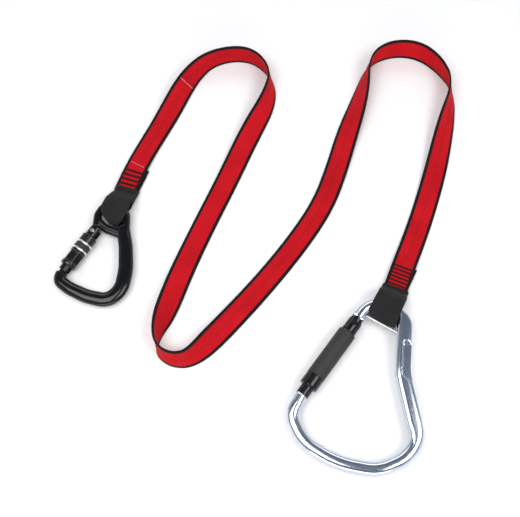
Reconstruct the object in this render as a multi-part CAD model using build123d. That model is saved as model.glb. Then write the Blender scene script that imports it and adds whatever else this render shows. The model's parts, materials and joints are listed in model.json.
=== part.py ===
"""Tool lanyard: a flat webbing strap with a small locking carabiner sewn into one end
and a large locking carabiner with a captive bar sewn into the other.

Millimetres, +Z up. The lanyard lies on the plane z = 0 with its straps and carabiners spread
out; the origin is on that plane, at the centre of the footprint of everything but the strap.
"""

from build123d import *
import math
import os

# ---- Webbing and its sewn ends ------------------------------------------------------------
WEB_WIDTH = 25.0
WEB_THICK = 2.4
COVER_THICK = 1.2
STRAP_STEPS = 110           # flat sections along the strap
CORNER_SHARE = 0.45         # share of the shorter run that a bend's arc may take
BIGHT_SHIFT = 5.0           # how far each loop reaches past the bar it holds
LOOP_FLARE = (6.0, 14.0)    # where a loop starts and ends widening from its bar to the strap
SEAM_SETBACK = 2.0          # the loop's hollow closes this far before the cover's reach
SEAM_GAP = (0.4, 0.2)       # length and height of the hollow where it closes
LAYERS_END = 1.0            # length of the flat end that a sewn end is drawn down to
TACK_ROWS = 5
TACK_ZIGZAGS = 7
TACK_THREAD = 0.9
TACK_HEIGHT = 0.5
TACK_AMPLITUDE = 1.1
TACK_MARGIN = 2.0           # bare webbing beside each end of a row

# Each route point: x, y, z of the strap's middle, then its roll in degrees: 0 and 180 lie
# flat, 90 and -90 stand on an edge. The strap turns over in every bend.
STRAP_ROUTE = [
    (-115.1, 160.2, 3.6, 0),
    (-103.5, 189.5, 2.0, 0),
    (-83.5, 231.5, 2.0, 5),
    (-57.0, 287.0, 10.3, 50),
    (-28.5, 313.0, 12.5, 80),
    (13.0, 317.5, 12.5, 84),
    (38.5, 288.5, 12.5, 97),
    (36.0, 254.5, 10.5, 128),
    (11.5, 207.5, 4.4, 165),
    (-11.5, 151.5, 1.6, 178),
    (-35.5, 96.5, 1.3, 180),
    (-56.5, 44.5, 1.9, 177),
    (-70.0, 0.5, 7.3, 150),
    (-79.0, -27.5, 12.4, 105),
    (-77.0, -45.4, 12.5, 78),
    (-61.2, -55.0, 12.0, 68),
    (-42.7, -52.4, 10.9, 55),
    (-17.5, -24.5, 3.8, 12),
    (26.5, 26.5, 1.3, 0),
    (64.5, 76.0, 1.3, 0),
    (92.5, 120.5, 1.3, 0),
    (108.5, 162.5, 1.9, -3),
    (122.5, 208.5, 3.4, -10),
    (140.5, 258.5, 9.7, -45),
    (151.1, 305.9, 12.5, -88),
    (178.0, 324.1, 12.4, -105),
    (210.5, 322.9, 12.3, -107),
    (234.0, 301.5, 12.5, -97),
    (248.0, 269.0, 12.4, -75),
    (233.5, 216.5, 7.3, -30),
    (218.5, 162.5, 2.5, -6),
    (201.5, 113.5, 1.3, 0),
    (187.5, 78.5, 2.0, 0),
    (175.3, 50.8, 3.6, 0),
]

# ---- Small carabiner: captive eye, twist-lock gate -----------------------------------------
SMALL_AXIS = (-129.7, 112.4)      # where the eye bar sits in its webbing loop
SMALL_HEADING = -20.0             # turn of the carabiner about Z
SMALL_LOOP_HEADING = -17.0        # turn of the sewn end about Z
SMALL_LOOP_INNER_R = 6.5
SMALL_LOOP_LENGTH = 50.0
SMALL_BIGHT_WIDTH = 17.0
SMALL_COVER_REACH = 24.0
SMALL_COVER_SPARE = (3.0, 2.0)    # cover width beyond the strap's, at the hem and at the bar
SMALL_TACKS = (28.0, 46.0)        # first and last row, measured from the bar
SMALL_EYE_R = 4.4
SMALL_EYE_PATH = [
    (-10.4, -27.0), (-14.6, -13.5), (-12.6, 0.0), (12.5, 0.0), (20.6, -20.0), (24.5, -30.0),
]
SMALL_EYE_RADII = [8.0, 8.0, 9.0, 15.0]
SMALL_FRAME_PATH = [
    (16.0, -17.0), (28.2, -37.0), (38.6, -60.0), (43.4, -82.5), (35.0, -98.0),
    (13.0, -101.0), (-7.5, -99.0), (-21.4, -94.8), (-22.1, -86.0),
]
SMALL_FRAME_RADII = [60.0, 70.0, 24.0, 16.0, 60.0, 40.0, 7.5]
SMALL_FRAME_SECTIONS = [          # fraction of the path, half width, half thickness
    (0.0, 7.0, 4.8), (0.25, 7.7, 5.0), (0.62, 7.7, 5.0), (1.0, 6.2, 5.0),
]
SMALL_CROSSBAR_PATH = [(-13.0, -22.0), (2.0, -27.0), (24.0, -27.6)]
SMALL_CROSSBAR_RADIUS = 20.0
SMALL_CROSSBAR_SECTION = (3.4, 4.0)
SMALL_TONGUE_START = -12.0        # where the hinge tongue leaves the eye, along the gate
SMALL_GATE = {
    "pivot": (-10.3, -33.9),
    "angle": -102.5,
    "collar_r": 6.5,
    "collar_length": 5.2,
    "tongue_r": 4.6,
    "slot_depth": 4.9,
    "tube_r": 5.8,
    "bore_r": 2.6,
    "bore_end": 24.0,
    "sleeve_r": 8.2,
    "sleeve_start": 5.6,
    "sleeve_end": 44.8,
    "cavity_r": 7.0,
    "nose_tip": 46.2,
    "tip": 51.0,
    "nose_root": 52.4,
    "nose_half_width": 3.8,
}
SMALL_RINGS = (14.6, 22.9)        # distance of each silver ring from the pivot
SLEEVE_RING_WIDTH = 2.2
SLEEVE_RING_DEPTH = 0.4

# ---- Large carabiner: pear-shaped round rod with a captive bar -----------------------------
LARGE_AXIS = (153.5, -1.8)        # where the rod turns in the bight of its webbing loop
LARGE_HEADING = -22.0
LARGE_LOOP_HEADING = -22.5
LARGE_LOOP_INNER_R = 9.0
LARGE_LOOP_LENGTH = 52.0
LARGE_BIGHT_WIDTH = 21.0
LARGE_COVER_REACH = 22.5
LARGE_COVER_SPARE = (2.0, 0.0)
LARGE_TACKS = (28.0, 48.0)
LARGE_ROD_R = 6.3
LARGE_ARCH_CENTRE = (-1.1, -20.0)
LARGE_ARCH_R = 23.1
LARGE_SPLAY = 15.0                # gate and spine each lean this far from the long axis
LARGE_BOWL_PATH = [
    (32.8, -57.3), (66.3, -113.0), (60.5, -133.0), (40.0, -153.0),
    (2.0, -160.6), (-33.6, -154.4), (-53.4, -135.3),
]
LARGE_BOWL_RADII = [60.0, 24.0, 37.0, 42.0, 90.0, 40.0, 18.0]
SPINE_WEB = (12.0, 46.0)          # centres of the web's round ends, along the spine
SPINE_WEB_HALF_WIDTH = 7.3
SPINE_WEB_HALF_THICK = 4.8
SPINE_WEB_FILLET = 3.0
PANEL_FLOOR_Z = 4.3
PANEL_OUTLINE = [(17.4, -1.9), (48.4, -1.9), (54.6, 9.0), (17.4, 9.0)]
PANEL_RAMP_ANGLE = 23.0           # slope of the bevel at the panel's upper end
PANEL_RAMP_LENGTH = 12.0
CAPTIVE_BAR_R = 1.4
CAPTIVE_BAR_ENDS = ((-20.6, -15.0), (22.4, -21.4))
HINGE_ROD_END = 6.0               # how far the full rod runs from the arch towards the pivot
HINGE_TO_PIVOT = 15.0
LARGE_TONGUE_START = -12.0
LARGE_GATE = {
    "angle": -90.0 - LARGE_SPLAY,
    "collar_r": 7.5,
    "collar_length": 9.0,
    "tongue_r": 6.0,
    "slot_depth": 6.5,
    "tube_r": 6.5,
    "bore_r": 3.2,
    "bore_end": 44.0,
    "sleeve_r": 9.25,
    "sleeve_start": 10.5,
    "sleeve_end": 78.0,
    "cavity_r": 7.5,
    "nose_tip": 79.4,
    "tip": 88.0,
    "nose_root": 89.2,
    "nose_half_width": 4.6,
}
GRIP_LENGTH = 55.0
GRIP_INNER_R = 8.2

# ---- Shared by both gates --------------------------------------------------------------------
TONGUE_HALF = 2.5
TONGUE_SLOT_HALF = 2.8
NOSE_HALF = 1.9
NOSE_SLOT_HALF = 2.3
NOSE_SLOT_BACK = 0.8              # how far the tip slot runs past the nose
RIVET_R = 2.0
RIVET_HEAD_R = 3.1
RIVET_HEAD = 0.8
RIVET_PROUD = 0.1                 # the heads stand this far off the collar
PIN_CLEARANCE = 0.05
PLAY = 0.4
SLEEVE_LIP = 4.0
GUIDE_PIN_R = 1.0
GUIDE_PIN_SETBACK = 4.0           # from the end of the gate's bore
GUIDE_PIN_FOOT = 2.0              # height of the pin's foot above the gate's axis
PLUNGER_HEAD = 3.0
PLUNGER_STEM = 4.0
SPRING_WIRE_R = 0.4
SPRING_PITCH = 3.2
SPRING_GAP = 0.2                  # between a spring and what it rests against
NOSE_BURIED = 4.0                 # how far the nose's blade runs into the rod
OVERRUN = 1.0                     # how far a cut runs past the face it opens
THROUGH = 40.0                    # longer than any section, for cuts that go right through


def save(part, name):
    part.label = name
    export_step(part, f"parts/{name}.step")


def rod_x(radius, start, end):
    """A round rod along X from start to end."""
    return Pos((start + end) / 2, 0, 0) * Rot(0, 90, 0) * Cylinder(radius, end - start)


def slab(start, end, half_width, half_height):
    """A block along X, centred on Y and Z."""
    return Pos((start + end) / 2, 0, 0) * Box(end - start, 2 * half_width, 2 * half_height)


def section_plane(wire, fraction):
    """The plane across a wire in the XY plane, with its X direction pointing up."""
    return Plane(origin=wire @ fraction, x_dir=(0, 0, 1), z_dir=wire % fraction)


def round_rod(wire, radius):
    return sweep(section_plane(wire, 0) * Circle(radius), path=wire)


def oval_rod(wire, half_width, half_thick):
    return sweep(section_plane(wire, 0) * Ellipse(half_thick, half_width), path=wire)


def tapering_rod(wire, sections):
    """An oval rod whose section changes along the wire."""
    faces = [
        section_plane(wire, fraction) * Ellipse(half_thick, half_width)
        for fraction, half_width, half_thick in sections
    ]
    return sweep(faces, path=wire, multisection=True)


def spring_x(mean_r, start, turns):
    """A coil spring whose axis is X."""
    coil = Helix(pitch=SPRING_PITCH, height=SPRING_PITCH * turns, radius=mean_r)
    wire = Plane(origin=coil @ 0, z_dir=coil % 0) * Circle(SPRING_WIRE_R)
    return Pos(start, 0, 0) * Rot(0, 90, 0) * sweep(wire, path=coil)


# ---- Strap -------------------------------------------------------------------------------------
def corner_radii(points):
    """The largest arc that each corner's two runs allow."""
    radii = []
    for before, here, after in zip(points, points[1:], points[2:]):
        into, out = here - before, after - here
        turn = math.radians(into.get_angle(out))
        shorter = min(into.length, out.length)
        radii.append(CORNER_SHARE * shorter / math.tan(turn / 2))
    return radii


def roll_at(fraction, stations, rolls):
    """Roll of the strap at a fraction of its route, between the two nearest route points."""
    for start, end, low, high in zip(stations, stations[1:], rolls, rolls[1:]):
        if fraction <= end:
            return low + (high - low) * (fraction - start) / (end - start)
    return rolls[-1]


def strap_section(point, direction, roll):
    """The strap's cross-section, lifted so that its lower edge stays on z = 0."""
    level = Vector(direction.X, direction.Y, 0).normalized()
    left = Vector(-level.Y, level.X, 0)
    across = left * math.cos(math.radians(roll)) + Vector(0, 0, math.sin(math.radians(roll)))
    edge_height = abs(across.Z) * WEB_WIDTH / 2 + abs(math.cos(math.radians(roll))) * WEB_THICK / 2
    middle = Vector(point.X, point.Y, max(point.Z, edge_height))
    return Plane(origin=middle, x_dir=across, z_dir=level) * Rectangle(WEB_WIDTH, WEB_THICK)


def heading_vector(heading):
    return Vector(-math.sin(math.radians(heading)), math.cos(math.radians(heading)), 0)


def webbing_strap():
    points = [Vector(x, y, z) for x, y, z, roll in STRAP_ROUTE]
    rolls = [roll for x, y, z, roll in STRAP_ROUTE]
    runs = [(b - a).length for a, b in zip(points, points[1:])]
    stations = [sum(runs[:i]) / sum(runs) for i in range(len(points))]
    radii = corner_radii(points)
    path = FilletPolyline(*points, radius=radii)
    sections = []
    for step in range(STRAP_STEPS + 1):
        fraction = step / STRAP_STEPS
        direction = path % fraction
        if step == 0:
            direction = heading_vector(SMALL_LOOP_HEADING)
        if step == STRAP_STEPS:
            direction = heading_vector(LARGE_LOOP_HEADING) * -1
        sections.append(strap_section(path @ fraction, direction, roll_at(fraction, stations, rolls)))
    strap = loft(sections, ruled=True)
    print("strap corner radii:", [round(radius) for radius in radii])
    print(f"strap length {path.length:.0f}, volume {strap.volume:.0f},",
          f"section x length {WEB_WIDTH * WEB_THICK * path.length:.0f}")
    return strap


# ---- Sewn ends ---------------------------------------------------------------------------------
def bight_edges(radius):
    """The round end of a sewn loop, from the bar to the far side of the bight."""
    return (Pos(-BIGHT_SHIFT, 0) * Circle(radius)).edges() + Circle(radius).edges()


def side_outline(radius, reach, top):
    """Side view of a sewn end: a round bight drawn down to two flat layers, in Y and Z."""
    floor = -radius
    flat_end = Pos(reach, (floor + top) / 2) * Rectangle(LAYERS_END, top - floor)
    return make_hull(bight_edges(radius) + flat_end.edges())


def pushed_sideways(sketch, width):
    """A side view drawn in X and Y, stood up in Y and Z and given a width along X."""
    upright = Plane(origin=(-width / 2, 0, 0), x_dir=(0, 1, 0), z_dir=(1, 0, 0)) * sketch
    return extrude(upright, amount=width)


def tapered_plan(full, narrow, length):
    """Plan view of a sewn end: narrow round the bar, then full width."""
    start, end = LOOP_FLARE
    outline = Polyline(
        (-narrow / 2, -THROUGH), (narrow / 2, -THROUGH), (narrow / 2, start), (full / 2, end),
        (full / 2, length), (-full / 2, length), (-full / 2, end), (-narrow / 2, start), close=True,
    )
    return Pos(0, 0, -THROUGH) * extrude(make_face(outline), amount=2 * THROUGH)


def sewn_loop(inner_r, length, reach, bight_width):
    """Two layers of webbing sewn flat, opening into a loop round the carabiner's bar."""
    outer_r = inner_r + WEB_THICK
    seam_z = -outer_r + WEB_THICK
    outer = side_outline(outer_r, reach, seam_z + WEB_THICK)
    closing_seam = Pos(reach - SEAM_SETBACK, seam_z) * Rectangle(*SEAM_GAP)
    hollow = make_hull(bight_edges(inner_r) + closing_seam.edges())
    tail = Pos((reach + length) / 2, seam_z) * Rectangle(length - reach, 2 * WEB_THICK)
    loop = pushed_sideways(outer - hollow + tail, WEB_WIDTH)
    return loop & tapered_plan(WEB_WIDTH, bight_width, length)


def end_cover(inner_r, reach, full, narrow):
    """A fabric sleeve closely over the sewn loop, open at its strap end."""
    web_r = inner_r + WEB_THICK
    layers_top = -web_r + 2 * WEB_THICK
    outer = side_outline(web_r + COVER_THICK, reach, layers_top + COVER_THICK)
    hollow = side_outline(web_r, reach + OVERRUN, layers_top)
    cover = pushed_sideways(outer - hollow, full)
    return cover & tapered_plan(full, narrow, reach + OVERRUN)


def bar_tacks(rows, top):
    """Rows of zigzag thread across the sewn layers."""
    first, last = rows
    threads = []
    half = WEB_WIDTH / 2 - TACK_MARGIN
    steps = 2 * TACK_ZIGZAGS
    for row in range(TACK_ROWS):
        y = first + (last - first) * row / (TACK_ROWS - 1)
        points = []
        for step in range(steps + 1):
            side = 1 if step % 2 else -1
            points.append((-half + 2 * half * step / steps, y + side * TACK_AMPLITUDE))
        thread = trace(Polyline(*points), TACK_THREAD)
        threads.append(Pos(0, 0, top) * extrude(thread, amount=TACK_HEIGHT))
    return Compound(children=threads)


# ---- Gates -------------------------------------------------------------------------------------
def hinge_relief(gate):
    """What the carabiner's body gives up so that the gate's two ears can turn round the pivot."""
    return Cylinder(gate["collar_r"] + PLAY, THROUGH) - Box(THROUGH, THROUGH, 2 * TONGUE_HALF)


def gate_tube(gate):
    """The inner gate: forked at the pivot, bored for its spring, slotted at the nose."""
    collar_r = gate["collar_r"]
    slot_start = gate["nose_tip"] - NOSE_SLOT_BACK
    tube = rod_x(gate["tube_r"], 0, gate["tip"])
    tube += rod_x(collar_r, 0, gate["collar_length"])
    tube += rod_x(collar_r, -collar_r, 0) & Cylinder(collar_r, THROUGH)
    tube -= slab(-THROUGH, gate["slot_depth"], THROUGH, TONGUE_SLOT_HALF)
    tube -= rod_x(gate["bore_r"], gate["slot_depth"] - OVERRUN, gate["bore_end"])
    tube -= slab(slot_start, gate["tip"] + OVERRUN, THROUGH, NOSE_SLOT_HALF)
    tube -= Cylinder(RIVET_R + PIN_CLEARANCE, THROUGH)
    return tube - guide_pin(gate)


def gate_rivet(gate):
    reach = gate["collar_r"] + RIVET_PROUD
    rivet = Cylinder(RIVET_R, 2 * reach)
    for side in (1, -1):
        rivet += Pos(0, 0, side * (reach + RIVET_HEAD / 2)) * Cylinder(RIVET_HEAD_R, RIVET_HEAD)
    return rivet


def guide_pin(gate):
    """A short pin that stands out of the inner gate into the sleeve's cavity."""
    x = gate["bore_end"] + GUIDE_PIN_SETBACK
    top = gate["cavity_r"] - PLAY
    return Pos(x, 0, (GUIDE_PIN_FOOT + top) / 2) * Cylinder(GUIDE_PIN_R, top - GUIDE_PIN_FOOT)


def gate_plunger(gate):
    """The follower that the gate spring presses against the tongue."""
    start = gate["slot_depth"] + SPRING_GAP
    head_end = start + PLUNGER_HEAD
    head = rod_x(gate["bore_r"] - 2 * PIN_CLEARANCE, start, head_end)
    return head + rod_x(gate["bore_r"] / 2, start, head_end + PLUNGER_STEM)


def gate_spring(gate):
    start = gate["slot_depth"] + PLUNGER_HEAD + SPRING_WIRE_R + 2 * SPRING_GAP
    turns = (gate["bore_end"] - start - 2 * SPRING_WIRE_R - SPRING_GAP) / SPRING_PITCH
    return spring_x(gate["bore_r"] - SPRING_WIRE_R - 2 * PIN_CLEARANCE, start, turns)


def sleeve_hollow(gate, start, end):
    """Two close lips with a wider cavity between them, where the sleeve's spring lives."""
    hollow = rod_x(gate["tube_r"] + PIN_CLEARANCE, start - OVERRUN, end + OVERRUN)
    return hollow + rod_x(gate["cavity_r"], start + SLEEVE_LIP, end - SLEEVE_LIP)


def sleeve_spring(gate):
    mean_r = (gate["tube_r"] + gate["cavity_r"]) / 2
    start = gate["sleeve_start"] + SLEEVE_LIP + 2 * SPRING_WIRE_R + SPRING_GAP
    turns = (gate["bore_end"] - start) / SPRING_PITCH
    return spring_x(mean_r, start, turns)


def nose_blade(gate):
    """The flat nose of the body that the gate's slotted tip closes over."""
    end = gate["nose_root"] + NOSE_BURIED
    return slab(gate["nose_tip"], end, gate["nose_half_width"], NOSE_HALF)


def hinge_tongue(gate, start):
    """The flat of the body between the gate's two ears, rounded about the pivot."""
    tongue = slab(start, 0, gate["tongue_r"], TONGUE_HALF)
    return tongue + Cylinder(gate["tongue_r"], 2 * TONGUE_HALF)


# ---- Small carabiner -----------------------------------------------------------------------------
def small_gate_place():
    x, y = SMALL_GATE["pivot"]
    return Location((x, y, 0), (0, 0, SMALL_GATE["angle"]))


def small_body():
    place = small_gate_place()
    eye = round_rod(FilletPolyline(*SMALL_EYE_PATH, radius=SMALL_EYE_RADII), SMALL_EYE_R)
    frame_path = FilletPolyline(*SMALL_FRAME_PATH, radius=SMALL_FRAME_RADII)
    frame = tapering_rod(frame_path, SMALL_FRAME_SECTIONS)
    crossbar_path = FilletPolyline(*SMALL_CROSSBAR_PATH, radius=SMALL_CROSSBAR_RADIUS)
    crossbar = oval_rod(crossbar_path, *SMALL_CROSSBAR_SECTION)
    body = eye + frame + crossbar - place * hinge_relief(SMALL_GATE)
    body += place * hinge_tongue(SMALL_GATE, SMALL_TONGUE_START)
    body += place * nose_blade(SMALL_GATE)
    return body - place * Cylinder(RIVET_R, THROUGH)


def small_sleeve():
    gate = SMALL_GATE
    sleeve = rod_x(gate["sleeve_r"], gate["sleeve_start"], gate["sleeve_end"])
    sleeve -= sleeve_hollow(gate, gate["sleeve_start"], gate["sleeve_end"])
    for ring_x in SMALL_RINGS:
        sleeve -= sleeve_ring(ring_x)
    return sleeve


def sleeve_ring(ring_x):
    """A bright ring let into the sleeve's outside."""
    outer_r = SMALL_GATE["sleeve_r"]
    ring_end = ring_x + SLEEVE_RING_WIDTH
    inside = rod_x(outer_r - SLEEVE_RING_DEPTH, ring_x - OVERRUN, ring_end + OVERRUN)
    return rod_x(outer_r, ring_x, ring_end) - inside


# ---- Large carabiner -----------------------------------------------------------------------------
def on_arch(angle):
    """A point on the arch over the captive loop, by its angle from the +X direction."""
    x, y = LARGE_ARCH_CENTRE
    turn = math.radians(angle)
    return (x + LARGE_ARCH_R * math.cos(turn), y + LARGE_ARCH_R * math.sin(turn))


def along_gate(distance):
    """A point on the gate's axis, counted from the arch's left end."""
    x, y = on_arch(180 - LARGE_SPLAY)
    angle = math.radians(LARGE_GATE["angle"])
    return (x + distance * math.cos(angle), y + distance * math.sin(angle))


def large_gate_place():
    x, y = along_gate(HINGE_TO_PIVOT)
    return Location((x, y, 0), (0, 0, LARGE_GATE["angle"]))


def large_path():
    arch_turn = 180 - 2 * LARGE_SPLAY
    hinge_run = Line(along_gate(HINGE_ROD_END), on_arch(180 - LARGE_SPLAY))
    arch = CenterArc(LARGE_ARCH_CENTRE, LARGE_ARCH_R, 180 - LARGE_SPLAY, -arch_turn)
    nose_root = along_gate(HINGE_TO_PIVOT + LARGE_GATE["nose_root"])
    bowl = FilletPolyline(on_arch(LARGE_SPLAY), *LARGE_BOWL_PATH, nose_root, radius=LARGE_BOWL_RADII)
    return Wire(hinge_run.edges() + arch.edges() + bowl.edges())


def spine_place():
    """X runs down the spine from the arch's right end, Y points out of the carabiner."""
    x, y = on_arch(LARGE_SPLAY)
    return Location((x, y, 0), (0, 0, -90 + LARGE_SPLAY))


def captive_bar():
    (x0, y0), (x1, y1) = CAPTIVE_BAR_ENDS
    length = math.hypot(x1 - x0, y1 - y0)
    angle = math.degrees(math.atan2(y1 - y0, x1 - x0))
    return Location((x0, y0, 0), (0, 0, angle)) * rod_x(CAPTIVE_BAR_R, 0, length)


def spine_web():
    """The flattened, wider stretch of the spine."""
    start, end = SPINE_WEB
    outline = SlotCenterToCenter(end - start, 2 * SPINE_WEB_HALF_WIDTH)
    web = extrude(outline, amount=2 * SPINE_WEB_HALF_THICK)
    rims = web.edges().filter_by(Axis.Z, reverse=True)
    web = fillet(rims, SPINE_WEB_FILLET)
    return Pos((start + end) / 2, 0, -SPINE_WEB_HALF_THICK) * web


def spine_panel():
    """The shallow pocket in the spine's upper face: flat floor, with a ramp at its upper end."""
    ramp_x, inner_y = PANEL_OUTLINE[0]
    floor = extrude(make_face(Polyline(*PANEL_OUTLINE, close=True)), amount=THROUGH)
    ramp = Pos(-PANEL_RAMP_LENGTH / 2, inner_y + THROUGH / 2, THROUGH / 2)
    ramp = ramp * Box(PANEL_RAMP_LENGTH, THROUGH, THROUGH)
    pocket = floor + Location((ramp_x, 0, 0), (0, PANEL_RAMP_ANGLE, 0)) * ramp
    return Pos(0, 0, PANEL_FLOOR_Z) * pocket


def large_body():
    place = large_gate_place()
    body = round_rod(large_path(), LARGE_ROD_R) + spine_place() * spine_web()
    body -= spine_place() * spine_panel()
    body -= spine_place() * mirror(spine_panel(), about=Plane.XY)
    body -= place * hinge_relief(LARGE_GATE)
    body += place * hinge_tongue(LARGE_GATE, LARGE_TONGUE_START)
    body += place * nose_blade(LARGE_GATE)
    return body - place * Cylinder(RIVET_R, THROUGH) - captive_bar()


def large_sleeve():
    """The metal sleeve: thinner under the grip, full size in its lower band."""
    gate = LARGE_GATE
    grip_end = gate["sleeve_start"] + GRIP_LENGTH
    sleeve = rod_x(GRIP_INNER_R, gate["sleeve_start"], grip_end)
    sleeve += rod_x(gate["sleeve_r"], grip_end, gate["sleeve_end"])
    return sleeve - sleeve_hollow(gate, gate["sleeve_start"], gate["sleeve_end"])


def large_grip():
    """The knurled grip pressed over the metal sleeve."""
    start = LARGE_GATE["sleeve_start"]
    end = start + GRIP_LENGTH
    return rod_x(LARGE_GATE["sleeve_r"], start, end) - rod_x(GRIP_INNER_R, start - OVERRUN, end + OVERRUN)


# ---- Assembly ------------------------------------------------------------------------------------
def lying_place(axis, heading, axis_height, gate, pivot):
    """A carabiner's place: its bar in the loop, its plane tipped until the sleeve touches z = 0."""
    rim = gate["sleeve_end"]
    rim_y = pivot[1] + rim * math.sin(math.radians(gate["angle"]))
    tilt = math.degrees(math.atan2(axis_height - gate["sleeve_r"] - PIN_CLEARANCE, -rim_y))
    return Location((axis[0], axis[1], axis_height)) * Rot(0, 0, heading) * Rot(tilt, 0, 0)


def print_joint(name, place, axis):
    """Where a hinge sits, in metres, and the direction of its axis."""
    direction = (place * Location(axis)).position - place.position
    print(name, [round(v / 1000, 6) for v in place.position], [round(v, 6) for v in direction])


def main():
    os.makedirs("parts", exist_ok=True)
    save(webbing_strap(), "webbing_strap")

    small_height = SMALL_LOOP_INNER_R + WEB_THICK + COVER_THICK
    small_end = Location((*SMALL_AXIS, small_height), (0, 0, SMALL_LOOP_HEADING))
    small_loop = sewn_loop(SMALL_LOOP_INNER_R, SMALL_LOOP_LENGTH, SMALL_COVER_REACH, SMALL_BIGHT_WIDTH)
    hem, tip = SMALL_COVER_SPARE
    small_cover = end_cover(SMALL_LOOP_INNER_R, SMALL_COVER_REACH, WEB_WIDTH + hem, SMALL_BIGHT_WIDTH + tip)
    save(small_end * small_loop, "small_end_loop")
    save(small_end * small_cover, "small_end_cover")
    save(small_end * bar_tacks(SMALL_TACKS, WEB_THICK - SMALL_LOOP_INNER_R), "small_bar_tacks")

    large_height = LARGE_LOOP_INNER_R + WEB_THICK + COVER_THICK
    large_end = Location((*LARGE_AXIS, large_height), (0, 0, LARGE_LOOP_HEADING))
    large_end = large_end * Pos(0, BIGHT_SHIFT, 0)
    large_loop = sewn_loop(LARGE_LOOP_INNER_R, LARGE_LOOP_LENGTH, LARGE_COVER_REACH, LARGE_BIGHT_WIDTH)
    hem, tip = LARGE_COVER_SPARE
    large_cover = end_cover(LARGE_LOOP_INNER_R, LARGE_COVER_REACH, WEB_WIDTH + hem, WEB_WIDTH + tip)
    save(large_end * large_loop, "large_end_loop")
    save(large_end * large_cover, "large_end_cover")
    save(large_end * bar_tacks(LARGE_TACKS, WEB_THICK - LARGE_LOOP_INNER_R), "large_bar_tacks")

    small = lying_place(SMALL_AXIS, SMALL_HEADING, small_height, SMALL_GATE, SMALL_GATE["pivot"])
    small_gate = small * small_gate_place()
    save(small * small_body(), "small_carabiner_body")
    save(small_gate * gate_rivet(SMALL_GATE), "small_gate_rivet")
    save(small_gate * gate_tube(SMALL_GATE), "small_inner_gate")
    save(small_gate * guide_pin(SMALL_GATE), "small_guide_pin")
    save(small_gate * gate_plunger(SMALL_GATE), "small_gate_plunger")
    save(small_gate * gate_spring(SMALL_GATE), "small_gate_spring")
    save(small_gate * small_sleeve(), "small_locking_sleeve")
    save(small_gate * sleeve_spring(SMALL_GATE), "small_sleeve_spring")
    for number, ring_x in enumerate(SMALL_RINGS, 1):
        save(small_gate * sleeve_ring(ring_x), f"small_sleeve_ring_{number}")

    large = lying_place(LARGE_AXIS, LARGE_HEADING, large_height, LARGE_GATE, along_gate(HINGE_TO_PIVOT))
    large_gate = large * large_gate_place()
    save(large * large_body(), "large_carabiner_body")
    save(large * captive_bar(), "captive_bar")
    save(large_gate * gate_rivet(LARGE_GATE), "large_gate_rivet")
    save(large_gate * gate_tube(LARGE_GATE), "large_inner_gate")
    save(large_gate * guide_pin(LARGE_GATE), "large_guide_pin")
    save(large_gate * gate_plunger(LARGE_GATE), "large_gate_plunger")
    save(large_gate * gate_spring(LARGE_GATE), "large_gate_spring")
    save(large_gate * large_sleeve(), "large_locking_sleeve")
    save(large_gate * large_grip(), "large_sleeve_grip")
    save(large_gate * sleeve_spring(LARGE_GATE), "large_sleeve_spring")

    print_joint("small_swing", small, (1, 0, 0))
    print_joint("large_swing", large, (1, 0, 0))
    for name, place in (("small", small_gate), ("large", large_gate)):
        print_joint(f"{name}_gate", place, (0, 0, 1))
        print_joint(f"{name}_sleeve", place, (1, 0, 0))


main()
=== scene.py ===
"""The looks of the tool lanyard: webbing, sewn ends, both carabiners, floor and studio light.

Metres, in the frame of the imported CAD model. Each carabiner's pieces are built in the frame that
its joints give; the strap and what is sewn on it follow one route.
"""
import json
import math

import bpy
import numpy as np
from mathutils import Matrix, Vector, noise


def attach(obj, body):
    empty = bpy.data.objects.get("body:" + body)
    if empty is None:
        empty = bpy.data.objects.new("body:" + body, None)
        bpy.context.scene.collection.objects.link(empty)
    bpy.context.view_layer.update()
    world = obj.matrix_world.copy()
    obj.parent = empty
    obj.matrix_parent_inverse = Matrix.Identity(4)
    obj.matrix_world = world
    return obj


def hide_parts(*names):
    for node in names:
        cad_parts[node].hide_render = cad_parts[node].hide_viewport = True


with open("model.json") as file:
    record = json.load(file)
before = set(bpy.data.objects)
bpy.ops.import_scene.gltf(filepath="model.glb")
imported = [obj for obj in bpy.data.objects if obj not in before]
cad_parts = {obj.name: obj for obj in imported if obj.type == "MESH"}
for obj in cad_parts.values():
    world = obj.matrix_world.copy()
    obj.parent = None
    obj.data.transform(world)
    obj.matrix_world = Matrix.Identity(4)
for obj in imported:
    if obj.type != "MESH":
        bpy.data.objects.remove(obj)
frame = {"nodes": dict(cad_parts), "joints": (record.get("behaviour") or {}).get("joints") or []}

MM = 0.001

# ---- Strap -----------------------------------------------------------------------------------
WEB_WIDTH = 25.0 * MM
WEB_HALF_THICK = 0.85 * MM
EDGE_BAND = 3.4 * MM              # width of each black edge
EDGE_HALF_THICK = 1.05 * MM
RIB_PITCH = 2.1 * MM
RIB_HEIGHT = 0.14 * MM
SAMPLES_PER_RIB = 4

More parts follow.
